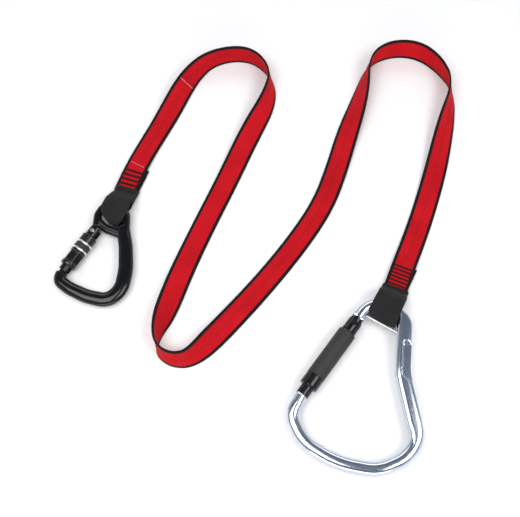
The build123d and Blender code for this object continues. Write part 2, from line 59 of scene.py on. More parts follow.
# x, y, z of the strap's middle, then its roll in degrees: 0 and 180 lie flat, 90 stands.
STRAP_ROUTE = [
    (-0.1228, 0.1350, 0.0047, 0),
    (-0.1151, 0.1602, 0.0036, 0),
    (-0.1035, 0.1895, 0.0020, 0),
    (-0.0835, 0.2315, 0.0020, 5),
    (-0.0570, 0.2870, 0.0103, 50),
    (-0.0285, 0.3130, 0.0125, 80),
    (0.0130, 0.3175, 0.0125, 84),
    (0.0385, 0.2885, 0.0125, 97),
    (0.0360, 0.2545, 0.0105, 128),
    (0.0115, 0.2075, 0.0044, 165),
    (-0.0115, 0.1515, 0.0016, 178),
    (-0.0355, 0.0965, 0.0013, 180),
    (-0.0565, 0.0445, 0.0019, 177),
    (-0.0700, 0.0005, 0.0073, 150),
    (-0.0790, -0.0275, 0.0124, 105),
    (-0.0770, -0.0454, 0.0125, 78),
    (-0.0612, -0.0550, 0.0120, 68),
    (-0.0427, -0.0524, 0.0109, 55),
    (-0.0175, -0.0245, 0.0038, 12),
    (0.0265, 0.0265, 0.0013, 0),
    (0.0645, 0.0760, 0.0013, 0),
    (0.0925, 0.1205, 0.0013, 0),
    (0.1085, 0.1625, 0.0019, -3),
    (0.1225, 0.2085, 0.0034, -10),
    (0.1405, 0.2585, 0.0097, -45),
    (0.1511, 0.3059, 0.0125, -88),
    (0.1780, 0.3241, 0.0124, -105),
    (0.2105, 0.3229, 0.0123, -107),
    (0.2340, 0.3015, 0.0125, -97),
    (0.2480, 0.2690, 0.0124, -75),
    (0.2335, 0.2165, 0.0073, -30),
    (0.2185, 0.1625, 0.0025, -6),
    (0.2015, 0.1135, 0.0013, 0),
    (0.1875, 0.0785, 0.0020, 0),
    (0.1753, 0.0508, 0.0036, 0),
    (0.1645, 0.0248, 0.0047, 0),
]

# ---- Sewing on the strap: distances along it from its small end ------------------------------
THREAD_R = 0.38 * MM
SMALL_TACK_ROWS = [10.3, 16.1, 21.9, 27.7]
LARGE_TACK_ROWS = [1.6, 6.0, 10.3, 14.6, 19.0, 23.3]     # from the large end
SMALL_TACK_AMPLITUDE = 1.2
LARGE_TACK_AMPLITUDE = 0.85
TACK_LIFT = 0.3
TACK_ZIGZAGS = 20
TACK_HALF_WIDTH = 10.0
LOCK_ROW = 37.5                   # the short row of light stitches above the small tacks
SEAM_AT = 155.0                   # the raw end of the doubled tail
DASH_PITCH = 3.7
DASH_LENGTH = 1.7

# ---- Sewn ends, in millimetres: Y towards the strap, Z up ---------------------------------------
SMALL_END_HEADING = math.radians(-17.0)
LARGE_END_HEADING = math.radians(-22.5)
LARGE_END_SHIFT = 5.0             # from the swing axis to the middle of the loop
SMALL_BAR_Z = 10.1
LARGE_BAR_Z = 12.6
LOWER_LAYER_Z = 2.4
UPPER_LAYER_Z = 4.8
COVER_THICK = 1.2
COVER_SIDE_DROP = 2.4
COVER_RIPPLE = 0.45
COVER_CROWN = 0.3
COVER_SHARES = 25                 # points across a cover
COVER_LOWER_Z = 1.1
HEM_LIFT = 0.7
HEM_GROOVE = 0.5
BAND_SPACING = 0.6
CORNER_SHARE = 0.414              # of a radius: where an eight-sided outline turns its corners
FABRIC_PITCH = 2.0 * MM

# ---- Small carabiner, in millimetres in its gate's frame --------------------------------------
SMALL_SLEEVE = (5.6, 44.8)
SMALL_SLEEVE_R = 8.2
SMALL_TUBE_R = 5.85
SMALL_RINGS = (14.6, 22.9)
RING_WIDTH = 2.2
FLATS = (28.0, 40.5)
FLAT_COUNT = 6
SMALL_RIVET_REACH = 6.9
SMALL_WEB_HALF_THICK = 3.2
# The web that narrows the eye round the fabric tongue: X along the eye's bar, Y away from the body.
SMALL_EYE_WEB = [
    (-15.5, -9.0), (-11.6, -13.4), (-6.8, -17.8), (-1.5, -20.3), (6.0, -21.2), (12.5, -20.2),
    (16.0, -17.0), (17.2, -12.0), (19.0, -16.0), (22.5, -25.0), (22.0, -29.5), (2.0, -29.5),
    (-13.0, -25.0), (-16.0, -17.0),
]
FORGING_VOXEL = 0.5 * MM
FORGING_SMOOTH_PASSES = 14

# ---- Large carabiner ------------------------------------------------------------------------------
# The middle of its forged bar, in millimetres in the swing's frame: the arch, the spine, the bowl.
ARCH_CENTRE = (-1.1, -20.0)
ARCH_R = 23.1
ARCH_FROM = 50.0                  # where the visible skin starts, in degrees round the arch
SPLAY = 15.0                      # how far the spine leans out, in degrees
BOWL_PATH = [
    (32.8, -57.3), (66.3, -113.0), (60.5, -133.0), (40.0, -153.0), (2.0, -160.6), (-33.6, -154.4),
    (-53.4, -135.3), (-50.4, -114.7),
]
BOWL_RADII = [60.0, 24.0, 37.0, 42.0, 90.0, 40.0, 18.0]
BAR_END_GAP = 7.0                 # the skin stops this far short of the nose
BAR_HALF_WIDTH = 6.65
BAR_HALF_THICK = 6.45
BAR_SQUARENESS = 2.2
BAR_AROUND = 120
BAR_STEP = 0.7
ARC_STEP = 0.8
SPINE_HALF_WIDTH = 7.5
SPINE_SQUARENESS = 4.0
SPINE_START = -14.0               # where the bar begins to square up, from the arch's end
SPINE_START_BLEND = 10.0
SPINE_REACH = 92.0                # where it is last fully square
SPINE_END_BLEND = 22.0
PANEL = (17.4, 48.4, -1.9)        # the pocket's start and end along the spine, and its inner edge
PANEL_END_SLANT = 0.57
PANEL_Z = 4.75
PANEL_RAMP = 0.424                # rise of the ramp that leads into the pocket
PANEL_WALL = 1.4                  # rise of its two walls
PANEL_WALL_WIDTH = 1.2
PANEL_LIMIT = 60.0                # no pocket beyond this distance along the bar
LARGE_SLEEVE = (10.5, 78.0)
LARGE_SLEEVE_R = 9.25
LARGE_TUBE_R = 6.55
GRIP_END = 65.5
GRIP_INNER_R = 8.2
KNURL_PITCH = 1.25
KNURL_DEPTH = 0.2

# ---- Camera and studio -------------------------------------------------------------------------
LOOK_AT = Vector((0.0245, 0.0585, 0.0))
CAMERA_ELEVATION = math.radians(66.5)
CAMERA_DISTANCE = 0.76
FLOOR_SIZE = 6.0
SOFTBOX_HEIGHT = 1.15
SOFTBOX_COLOR = (1.0, 0.985, 0.96)
LEFT_POWER = 12.0
RIGHT_POWER = 9.8
REAR_POWER = 17.0
FRONT_POWER = 9.0
FRONT_TILT = math.radians(72)
WORLD_STRENGTH = 0.95


def make_camera():
    data = bpy.data.cameras.new("camera")
    data.lens = 50.0
    data.sensor_width = 36.0
    camera = bpy.data.objects.new("camera", data)
    back = Vector((0, -math.cos(CAMERA_ELEVATION), math.sin(CAMERA_ELEVATION)))
    camera.location = LOOK_AT + back * CAMERA_DISTANCE
    camera.rotation_euler = (math.pi / 2 - CAMERA_ELEVATION, 0, 0)
    bpy.context.scene.collection.objects.link(camera)
    bpy.context.scene.camera = camera


# ---- Mesh helpers ------------------------------------------------------------------------------
def add_mesh(name, points, faces, material, attributes=None, crease_deg=40):
    """A mesh object from points and faces, smooth but for its sharp edges, with point attributes."""
    mesh = bpy.data.meshes.new(name)
    mesh.from_pydata([tuple(p) for p in points], [], faces)
    mesh.polygons.foreach_set("use_smooth", [True] * len(mesh.polygons))
    mesh.set_sharp_from_angle(angle=math.radians(crease_deg))
    for key, values in (attributes or {}).items():
        layer = mesh.attributes.new(key, "FLOAT", "POINT")
        layer.data.foreach_set("value", np.asarray(values, np.float32))
    mesh.materials.append(material)
    piece = bpy.data.objects.new(name, mesh)
    bpy.context.scene.collection.objects.link(piece)
    return piece


def ring_faces(rings, around, loop=False):
    """Quads between rings of points; a loop joins the last ring to the first, else ends are capped."""
    faces = []
    for ring in range(rings if loop else rings - 1):
        here, after = ring * around, (ring + 1) % rings * around
        for k in range(around):
            n = (k + 1) % around
            faces.append((here + k, here + n, after + n, after + k))
    if not loop:
        last = (rings - 1) * around
        faces.append(tuple(range(around - 1, -1, -1)))
        faces.append(tuple(range(last, last + around)))
    return faces


def placed(place, points):
    """Points in millimetres in a local frame, moved to the row frame in metres."""
    matrix = np.array(place)
    return np.asarray(points, float) * MM @ matrix[:3, :3].T + matrix[:3, 3]


def axes_at(origin, x_axis, z_axis):
    """The frame with that origin, X direction and Z direction."""
    x, z = Vector(x_axis).normalized(), Vector(z_axis).normalized()
    place = Matrix((x, z.cross(x), z)).transposed().to_4x4()
    place.translation = Vector(origin)
    return place


def joint_named(name):
    return next(joint for joint in frame["joints"] if joint["name"] == name)


def gate_place(size):
    """X runs down the gate from its pivot, Z along its pivot pin."""
    hinge = joint_named(size + "_gate_hinge")
    return axes_at(hinge["pos_m"], joint_named(size + "_sleeve_twist")["axis"], hinge["axis"])


def end_place(size, heading, shift):
    """A sewn end's frame on the floor below its loop: Y runs along the strap."""
    x, y = joint_named(size + "_carabiner_swing")["pos_m"][:2]
    turn = Matrix.Rotation(heading, 4, "Z")
    return Matrix.Translation((x, y, 0)) @ turn @ Matrix.Translation((0, shift * MM, 0))


def unit(vectors):
    return vectors / np.linalg.norm(vectors, axis=-1, keepdims=True)


def spline_points(control_points):
    """The points of a smooth NURBS line with those control points."""
    data = bpy.data.curves.new("route", "CURVE")
    data.dimensions = "3D"
    data.resolution_u = 96
    spline = data.splines.new("NURBS")
    spline.points.add(len(control_points) - 1)
    for control, place in zip(spline.points, control_points):
        control.co = (*place, 1.0)
    spline.order_u = 3
    spline.use_endpoint_u = True
    holder = bpy.data.objects.new("route", data)
    mesh = bpy.data.meshes.new_from_object(holder)
    points = np.array([vertex.co[:] for vertex in mesh.vertices])
    bpy.data.meshes.remove(mesh)
    bpy.data.curves.remove(data)
    return points


def lengths_along(points):
    steps = np.linalg.norm(np.diff(points, axis=0), axis=1)
    return np.concatenate([[0], np.cumsum(steps)])


def read_at(stations, along, values):
    """Values along a line, read at other distances along it."""
    return np.stack([np.interp(stations, along, column) for column in values.T], axis=1)


# ---- Strap -------------------------------------------------------------------------------------
def across_route():
    """The direction across the strap at each route point."""
    places = np.array([place[:3] for place in STRAP_ROUTE])
    rolls = np.radians([place[3] for place in STRAP_ROUTE])
    travel = np.gradient(places, axis=0)
    travel[:, 2] = 0
    level = unit(travel)
    left = np.stack([-level[:, 1], level[:, 0], np.zeros(len(level))], axis=1)
    up = np.array([0.0, 0.0, 1.0])
    return places, left * np.cos(rolls)[:, None] + up * np.sin(rolls)[:, None]


def strap_line():
    """Middle, across and face directions along the strap, and the distance along it."""
    places, across = across_route()
    middle = spline_points(places)
    edge = spline_points(places + across * WEB_WIDTH / 2)
    along = lengths_along(middle)
    stations = np.linspace(0, along[-1], int(along[-1] / RIB_PITCH * SAMPLES_PER_RIB) + 1)
    middle = read_at(stations, along, middle)
    edge = read_at(stations, along, edge)
    travel = unit(np.gradient(middle, axis=0))
    across = edge - middle
    across = unit(across - travel * (across * travel).sum(1)[:, None])
    face = np.cross(travel, across)
    lowest = np.abs(across[:, 2]) * WEB_WIDTH / 2 + np.abs(face[:, 2]) * EDGE_HALF_THICK
    middle[:, 2] = np.maximum(middle[:, 2], lowest)
    return middle, across, face, stations


def web_profile():
    """The upper half of the webbing's section, edge to edge: position across and height."""
    half = WEB_WIDTH / 2
    bead = EDGE_HALF_THICK
    inner = half - EDGE_BAND
    turns = np.radians([10, 40, 75])
    bead_curve = [(half - bead * (1 - math.cos(a)), bead * math.sin(a)) for a in turns]
    step = (inner, 1.1 * WEB_HALF_THICK)
    band = [(inner + 0.6 * MM, bead), step, (inner - 0.5 * MM, WEB_HALF_THICK)]
    middle = [(inner * share, WEB_HALF_THICK) for share in (0.66, 0.33, 0.0)]
    right = bead_curve + band + middle
    left = [(-across, height) for across, height in reversed(right[:-1])]
    return np.array(right + left)


def rib_share(across):
    """How much of the ribs' height shows: little on the edges, all in the red middle."""
    inner = WEB_WIDTH / 2 - EDGE_BAND
    return np.clip((inner - np.abs(across)) / MM, 0.25, 1)


def webbing_mesh(name, middle, across, face, stations, material):
    """A ribbed strap along a line, with its attributes for the weave."""
    top = web_profile()
    profile = np.concatenate([top, [(u, -h) for u, h in reversed(top.tolist())]])
    side = np.sign(profile[:, 1])
    ribs = 0.5 + 0.5 * np.cos(2 * math.pi * stations / RIB_PITCH)
    height = profile[:, 1] + side * rib_share(profile[:, 0]) * RIB_HEIGHT * (ribs[:, None] - 1)
    points = middle[:, None] + across[:, None] * profile[None, :, :1] + face[:, None] * height[..., None]
    rings, around = points.shape[:2]
    attributes = {"across": np.tile(profile[:, 0], rings), "along": np.repeat(stations, around)}
    faces = ring_faces(rings, around)
    return add_mesh(name, points.reshape(-1, 3), faces, material, attributes, crease_deg=80)


def make_strap(line, material, sewing):
    middle, across, face, stations = line
    strap = webbing_mesh("strap_webbing", middle, across, face, stations, material)
    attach(strap, "lanyard")
    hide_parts("webbing_strap")


# ---- Sewing --------------------------------------------------------------------------------------
def on_strap(line, station, across_mm, lift_mm):
    """A point on the strap's printed face, at a distance in millimetres from its small end."""
    middle, across, face, stations = line
    here, side, up = (read_at([station * MM], stations, values)[0] for values in (middle, across, face))
    return here + side * across_mm * MM + up * (WEB_HALF_THICK + lift_mm * MM)


def thread_mesh(name, paths, radius, material, sides=6):
    """Short tubes of thread along several paths, as one mesh."""
    points, faces = [], []
    angles = np.linspace(0, 2 * math.pi, sides, endpoint=False)
    for path in paths:
        path = np.asarray(path)
        travel = unit(np.gradient(path, axis=0))
        side = unit(np.cross(travel, [0.13, 0.21, 0.97]))
        up = np.cross(side, travel)
        ring = side[:, None] * np.cos(angles)[None, :, None] + up[:, None] * np.sin(angles)[None, :, None]
        offset = len(points)
        points.extend((path[:, None] + radius * ring).reshape(-1, 3))
        faces.extend(tuple(offset + k for k in quad) for quad in ring_faces(len(path), sides))
    piece = add_mesh(name, points, faces, material)
    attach(piece, "lanyard")
    return piece


def zigzag(line, station, amplitude):
    """One bar-tack row across the strap: thread going to and fro along it, close together."""
    path = []
    for across in np.linspace(-TACK_HALF_WIDTH, TACK_HALF_WIDTH, 8 * TACK_ZIGZAGS + 1):
        turns = (across / TACK_HALF_WIDTH + 1) * TACK_ZIGZAGS / 2
        swing = amplitude * (4 * abs(turns % 1 - 0.5) - 1)
        path.append(on_strap(line, station + swing, across, TACK_LIFT))
    return path


def dash(line, station, across, length):
    """One stitch lying along the strap, its ends sunk into the webbing."""
    lifts = [(0, -0.2), (0.2, 0.1), (0.5, 0.16), (0.8, 0.1), (1, -0.2)]
    return [on_strap(line, station + share * length, across, lift) for share, lift in lifts]


def cross_dash(line, station, across, width):
    lifts = [(0, -0.2), (0.25, 0.12), (0.75, 0.12), (1, -0.2)]
    return [on_strap(line, station, across + share * width, lift) for share, lift in lifts]


def make_sewing(line, thread, light_thread):
    strap_mm = line[3][-1] / MM
    small_rows = [zigzag(line, station, SMALL_TACK_AMPLITUDE) for station in SMALL_TACK_ROWS]
    small = thread_mesh("small_tack_thread", small_rows, THREAD_R, thread)
    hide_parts("small_bar_tacks")
    large_rows = [zigzag(line, strap_mm - station, LARGE_TACK_AMPLITUDE) for station in LARGE_TACK_ROWS]
    large = thread_mesh("large_tack_thread", large_rows, THREAD_R, thread)
    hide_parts("large_bar_tacks")
    first, last = LOCK_ROW + 5, strap_mm - 32
    count = int((last - first) / DASH_PITCH)
    dashes = [dash(line, first + DASH_PITCH * k, 0.0, DASH_LENGTH) for k in range(count)]
    dashes += [cross_dash(line, SEAM_AT + 4, x, 1.4) for x in np.arange(-9.0, 8.5, 2.3)]
    centre = thread_mesh("centre_stitching", dashes, 0.22 * MM, thread)
    lock = [cross_dash(line, LOCK_ROW + 0.12 * x, x, 1.3) for x in np.arange(-7.5, 7.0, 2.4)]
    lock += [[on_strap(line, SEAM_AT, x, 0.25) for x in np.linspace(-9.4, 9.4, 12)]]
    light = thread_mesh("light_stitching", lock, 0.3 * MM, light_thread)
    return [small, large, centre, light]


# ---- Sewn ends -------------------------------------------------------------------------------------
def loop_outline(radius, height, top, reach, low, high, back):
    """Side view of a band round the bar, from its lower layer, round the bight, to its upper one."""
    near = CORNER_SHARE * radius
    rise = top - height
    return [
        (reach, low), (0.6 * reach, low), (back, max(height - radius, low)),
        (back - near, height - radius), (back - radius, height - near),
        (back - radius, height + CORNER_SHARE * rise),
        (back - near, top), (0.3 * radius, top), (0.36 * reach + 3, top - 0.38 * rise),
        (0.62 * reach, high + 0.36 * (top - high)), (0.8 * reach, high + 0.3), (reach, high),
    ]


def side_line(outline):
    """Evenly spaced Y and Z along a side view, with outward directions and distances."""
    smooth = spline_points([(0, y * MM, z * MM) for y, z in outline]) / MM
    along = lengths_along(smooth)
    stations = np.linspace(0, along[-1], int(along[-1] / BAND_SPACING) + 1)
    line = read_at(stations, along, smooth)[:, 1:]
    travel = unit(np.gradient(line, axis=0))
    outward = np.stack([-travel[:, 1], travel[:, 0]], axis=1)
    return line, outward, stations


def band_mesh(name, place, outline, plan, profile, material, ripple=0.0):
    """A band that follows a side view.

    plan gives its middle, half width and slant seen from above; profile gives its section.
    """
    line, outward, stations = side_line(outline)
    rows = []
    for (y, z), (out_y, out_z), station in zip(line, outward, stations):
        middle, width, slant = plan(y, z)
        row = []
        for u, height in profile(y, z, station, stations[-1]):
            x = middle + u * width
            lift = height + ripple * noise.noise(Vector((x * 0.11, y * 0.16, z * 0.16)))
            row.append((x, y + out_y * lift + slant * u * width, z + out_z * lift))
        rows.append(row)
    points = np.array(rows)
    rings, around = points.shape[:2]
    attributes = {
        "across": points[..., 0].reshape(-1) * MM,
        "along": np.repeat(stations, around) * MM,
    }
    place_points = placed(place, points.reshape(-1, 3))
    piece = add_mesh(name, place_points, ring_faces(rings, around), material, attributes, crease_deg=70)
    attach(piece, "lanyard")
    return piece


def web_section(y, z, station, total):
    """The webbing's section for the sewn loops, as shares of its half width and heights.

    Only the distance along it matters here; the rest is what band_mesh tells every profile.
    """
    half = WEB_WIDTH / 2
    top = web_profile()
    rib = RIB_HEIGHT * (0.5 * math.cos(2 * math.pi * station * MM / RIB_PITCH) - 0.5)
    upper = [(u / half, (h + rib * rib_share(u)) / MM) for u, h in top]
    return upper + [(u, -h) for u, h in reversed(upper)]


def cover_section(hem_width, closed_from):
    """The section of a fabric cover: crowned, its sides turned in where the sleeve is closed."""
    shares = np.linspace(-1, 1, COVER_SHARES)

    def section(y, z, station, total):
        from_hem = min(station, total - station)
        hem = HEM_LIFT if from_hem < hem_width and z > LOWER_LAYER_Z else 0.0
        groove = -HEM_GROOVE * math.exp(-((from_hem - hem_width - 0.7) / 0.6) ** 2)
        closed = np.clip((y - closed_from) / 5.0, 0, 1)
        upper = []
        for u in shares:
            edge = max(0.0, (abs(u) - 0.84) / 0.16)
            drop = edge ** 2 * (0.5 + COVER_SIDE_DROP * closed)
            crown = COVER_THICK / 2 + COVER_CROWN * (1 - u * u)
            upper.append((u * (1 - 0.015 * edge), crown + hem + groove * (edge < 1) - drop))
        lower = [(u * 0.985, height - COVER_THICK) for u, height in reversed(upper)]
        return upper + lower

    return section


def smooth_plan(*stops):
    """A band seen from above: smooth between given stops of (y, middle, half width, slant)."""
    middles = spline_points([stop[:3] for stop in stops])
    slants = spline_points([(stop[0], stop[3], 0) for stop in stops])

    def read(y):
        middle, half = (np.interp(y, middles[:, 0], middles[:, k]) for k in (1, 2))
        return middle, half, np.interp(y, slants[:, 0], slants[:, 1])

    return read


def two_layers(upper, lower, bar_z):
    """One plan above the bar and another below it."""
    return lambda y, z: upper(y) if z > bar_z else lower(y)


def small_loop_plan():
    """The doubled webbing; its lower layer strays a little to the right of the strap."""
    fold = [(-15, 4.0, 2.6, 0), (-8, 2.6, 5.2, 0)]
    upper = smooth_plan(*fold, (10, 1.0, 8.0, 0), (24, 1.0, 12.0, 0))
    lower = smooth_plan(*fold, (14, 1.2, 9.0, 0), (24, 1.5, 12.5, 0), (58, 2.8, 12.5, 0))
    return two_layers(upper, lower, SMALL_BAR_Z)


def small_cover_plan():
    """Full at the hem and over the bar, then a rounded tongue that dives into the eye."""
    upper = smooth_plan(
        (-18.6, 4.2, 3.0, 0), (-18.0, 4.1, 6.5, 0), (-16.0, 3.2, 9.5, 0), (-12, 1.6, 12.4, 0),
        (-5, 0.8, 14.7, 0), (4, 0.9, 14.4, 0), (18, 1.5, 13.9, 0), (30, 1.8, 14.1, 0),
    )
    lower = smooth_plan(
        (-18.6, 4.2, 3.0, 0), (-18.0, 4.1, 6.5, 0), (-9, 2.4, 8.5, 0), (0, 1.0, 9.5, 0),
        (16, 1.2, 13.2, 0), (30, 1.8, 13.6, 0),
    )
    return two_layers(upper, lower, SMALL_BAR_Z)


def large_loop_plan():
    """The webbing, gathered in where it passes round the bar."""
    fold = (-19, -3.0, 7.0, -0.1)
    upper = smooth_plan(fold, (6, -2.2, 7.6, 0), (24, 0.0, 11.8, 0))
    lower = smooth_plan(fold, (8, -1.8, 7.8, 0), (24, 0.6, 12.3, 0), (51, 2.0, 12.5, 0))
    return two_layers(upper, lower, LARGE_BAR_Z)


def large_cover_plan():
    """Straight sides that lean a little to the left, and a slanting fold."""
    plan = smooth_plan(
        (-20, -2.7, 15.3, -0.13), (-8, -3.0, 15.0, -0.1), (5, -1.2, 14.8, -0.04), (22, 0.1, 14, 0),
    )
    return lambda y, z: plan(y)


def make_end(size, place, webbing, fabric, loop, cover):
    """A sewn end: the loop, as (outline, plan), and over it the cover, as (outline, plan, section)."""
    outline, plan = loop
    strap = band_mesh(size + "_loop_webbing", place, outline, plan, web_section, webbing)
    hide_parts(size + "_end_loop")
    outline, plan, section = cover
    name = size + "_cover_fabric"
    cloth = band_mesh(name, place, outline, plan, section, fabric, ripple=COVER_RIPPLE)
    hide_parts(size + "_end_cover")


def make_ends(webbing, fabric):
    place = end_place("small", SMALL_END_HEADING, 0.0)
    loop = loop_outline(7.7, SMALL_BAR_Z, 15.5, 24.0, LOWER_LAYER_Z, UPPER_LAYER_Z - 0.5, -6.8)
    loop = [(57.5, LOWER_LAYER_Z - 0.7), (40.0, LOWER_LAYER_Z - 0.3)] + loop
    outline = loop_outline(9.5, SMALL_BAR_Z, 17.4, 29.0, COVER_LOWER_Z, 6.5, -8.6)
    cover = (outline, small_cover_plan(), cover_section(hem_width=5.2, closed_from=9.0))
    make_end("small", place, webbing, fabric, (loop, small_loop_plan()), cover)
    place = end_place("large", LARGE_END_HEADING, LARGE_END_SHIFT)
    loop = loop_outline(10.2, LARGE_BAR_Z, 20.2, 22.5, LOWER_LAYER_Z, UPPER_LAYER_Z - 1.2, -6.0)
    loop = [(50.5, LOWER_LAYER_Z - 0.7), (36.0, LOWER_LAYER_Z - 0.3)] + loop
    outline = loop_outline(11.9, LARGE_BAR_Z, 22.2, 22.0, COVER_LOWER_Z, 6.9, -7.4)
    cover = (outline, large_cover_plan(), cover_section(hem_width=1.6, closed_from=12.0))
    make_end("large", place, webbing, fabric, (loop, large_loop_plan()), cover)


# ---- Turned pieces ---------------------------------------------------------------------------------
def lathe(name, place, outer, inner_r, material, around=96, radius=None):
    """A hollow turned piece along X: outer is its profile of (x, r); radius may vary r by angle."""
    first, last = outer[0][0], outer[-1][0]
    profile = outer + [(last, inner_r), (first, inner_r)]
    angles = np.linspace(0, 2 * math.pi, around, endpoint=False)
    rows = []
    for number, (x, r) in enumerate(profile):
        radii = np.full(around, r)
        if radius and number < len(outer):
            radii = radius(x, r, angles)
        row = [np.full(around, x), radii * np.cos(angles), radii * np.sin(angles)]
        rows.append(np.stack(row, axis=1))
    points = placed(place, np.array(rows).reshape(-1, 3))
    faces = ring_faces(len(profile), around, loop=True)
    return add_mesh(name, points, faces, material, crease_deg=32)


def flats(x, r, angles):
    """Six flats let into the small sleeve's lower part, with run-outs at both ends."""
    start, end = FLATS
    depth = np.clip(min(x - start, end - x) / 0.8, 0, 1)
    spread = 2 * math.pi / FLAT_COUNT
    turn = np.mod(angles, spread) - spread / 2
    flat = (SMALL_SLEEVE_R - 0.95) / np.cos(turn)
    return np.minimum(r, r + (flat - r) * depth)


def small_sleeve_profile():
    """The small sleeve's side view: two ring seats, a groove, the flats and a rounded end."""
    start, end = SMALL_SLEEVE
    r = SMALL_SLEEVE_R
    profile = [(start, r - 1.3), (start + 0.4, r - 0.5), (start + 1.0, r)]
    for ring in SMALL_RINGS:
        after = ring + RING_WIDTH
        profile += [(ring - 0.15, r), (ring, r - 0.5), (after, r - 0.5), (after + 0.15, r)]
    low, high = FLATS
    profile += [(low - 1.2, r), (low - 1.0, r - 0.25), (low - 0.6, r - 0.25), (low, r)]
    profile += [(x, r) for x in np.linspace(low + 0.4, high - 0.4, 20)]
    profile += [(high, r), (high + 0.4, r - 0.3), (high + 0.8, r - 0.3), (high + 1.1, r)]
    return profile + [(end - 0.8, r), (end - 0.2, r - 0.35), (end, r - 0.9)]


def make_small_sleeve(gloss, matte, bright):
    place = gate_place("small")
    sleeve = lathe("small_sleeve_metal", place, small_sleeve_profile(), SMALL_TUBE_R, gloss, radius=flats)
    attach(sleeve, "small_sleeve")
    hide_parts("small_locking_sleeve")
    r = SMALL_SLEEVE_R
    low, high = SMALL_RINGS[0] + RING_WIDTH + 0.25, SMALL_RINGS[1] - 0.25
    band = [(low, r - 0.1), (low + 0.2, r + 0.08), (high - 0.2, r + 0.08), (high, r - 0.1)]
    grip = lathe("small_sleeve_band", place, band, r - 0.4, matte)
    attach(grip, "small_sleeve")
    for number, x in enumerate(SMALL_RINGS, 1):
        end = x + RING_WIDTH
        crown = [
            (x, r - 0.2), (x + 0.25, r + 0.1), (x + 0.7, r + 0.2), (end - 0.7, r + 0.2),
            (end - 0.25, r + 0.1), (end, r - 0.2),
        ]
        ring = lathe(f"small_ring_{number}", place, crown, r - 0.5, bright)
        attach(ring, "small_sleeve")
        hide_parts(f"small_sleeve_ring_{number}")


def knurl(x, r, angles):
    """Two crossed sets of fine grooves cut into the grip."""
    turns = round(2 * math.pi * LARGE_SLEEVE_R / KNURL_PITCH / 2)
    wave = 2 * math.pi * x / (2 * KNURL_PITCH)
    ridges = np.cos(turns * angles + wave) * np.cos(turns * angles - wave)
    ease = np.clip(min(x - LARGE_SLEEVE[0] - 1.2, GRIP_END - 1.0 - x) / 0.8, 0, 1)
    return r - KNURL_DEPTH * ease * (0.5 - 0.5 * ridges)


def make_large_sleeve(gloss, matte):
    place = gate_place("large")
    start, end = LARGE_SLEEVE
    r = LARGE_SLEEVE_R
    grip = [(start, r - 1.1), (start + 0.3, r - 0.5), (start + 0.9, r - 0.1)]
    grip += [(x, r) for x in np.arange(start + 1.2, GRIP_END - 0.9, KNURL_PITCH / 4)]
    grip += [(GRIP_END - 0.4, r - 0.05), (GRIP_END, r - 0.4)]
    piece = lathe("large_grip_knurl", place, grip, GRIP_INNER_R, matte, around=184, radius=knurl)
    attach(piece, "large_sleeve")
    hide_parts("large_sleeve_grip")
    tube = [(start, GRIP_INNER_R), (GRIP_END - 0.1, GRIP_INNER_R)]
    collar = [
        (GRIP_END, r - 0.5), (GRIP_END + 0.5, r), (end - 1.6, r), (end - 1.4, r - 0.25),
        (end - 1.1, r - 0.25), (end - 0.9, r), (end - 0.3, r - 0.1), (end, r - 0.6),
    ]
    sleeve = lathe("large_sleeve_metal", place, tube + collar, LARGE_TUBE_R, gloss)
    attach(sleeve, "large_sleeve")
    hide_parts("large_locking_sleeve")


# ---- Forged bodies --------------------------------------------------------------------------------
def swing_place(size):
    """X runs along the bar that the strap hangs on, Z up through the flat of the carabiner."""
    swing = joint_named(size + "_carabiner_swing")
    return axes_at(swing["pos_m"], swing["axis"], joint_named(size + "_gate_hinge")["axis"])


def plate(outline, half_thick, bevel):
    """Points and faces of a plate with bevelled rims, from its outline seen from above."""
    rim = np.array(outline, float)
    inward = rim.mean(axis=0) - rim
    inset = rim + bevel * inward / np.linalg.norm(inward, axis=1, keepdims=True)
    shoulder = half_thick - bevel
    levels = [(inset, -half_thick), (rim, -shoulder), (rim, shoulder), (inset, half_thick)]
    points = [(x, y, z) for ring, z in levels for x, y in ring]
    return points, ring_faces(len(levels), len(outline))


def make_small_body(material):
    """The small body as one forging: the CAD shape and the web in its eye, run together."""
    mesh = frame["nodes"]["small_carabiner_body"].data.copy()
    points, faces = plate(SMALL_EYE_WEB, SMALL_WEB_HALF_THICK, 1.0)
    web = add_mesh("small_eye_web", placed(swing_place("small"), points), faces, material)
    body = bpy.data.objects.new("small_forged_body", mesh)
    bpy.context.scene.collection.objects.link(body)
    with bpy.context.temp_override(active_object=body, selected_editable_objects=[body, web]):
        bpy.ops.object.join()
    remesh = body.modifiers.new("remesh", "REMESH")
    remesh.mode = "VOXEL"
    remesh.voxel_size = FORGING_VOXEL
    smooth = body.modifiers.new("smooth", "SMOOTH")
    smooth.factor = 0.5
    smooth.iterations = FORGING_SMOOTH_PASSES
    graph = bpy.context.evaluated_depsgraph_get()
    shape = bpy.data.meshes.new_from_object(body.evaluated_get(graph))
    body.modifiers.clear()
    body.data = shape
    shape.materials.clear()
    shape.materials.append(material)
    shape.polygons.foreach_set("use_smooth", [True] * len(shape.polygons))
    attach(body, "small_carabiner")
    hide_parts("small_carabiner_body")


def bar_arc(centre, radius, start_deg, end_deg):
    """Points round an arc of the forged bar, both ends included."""
    count = max(2, int(abs(math.radians(end_deg - start_deg)) * radius / ARC_STEP) + 1)
    turns = np.radians(np.linspace(start_deg, end_deg, count))
    round_arc = radius * np.stack([np.cos(turns), np.sin(turns)], axis=1)
    return np.asarray(centre) + round_arc


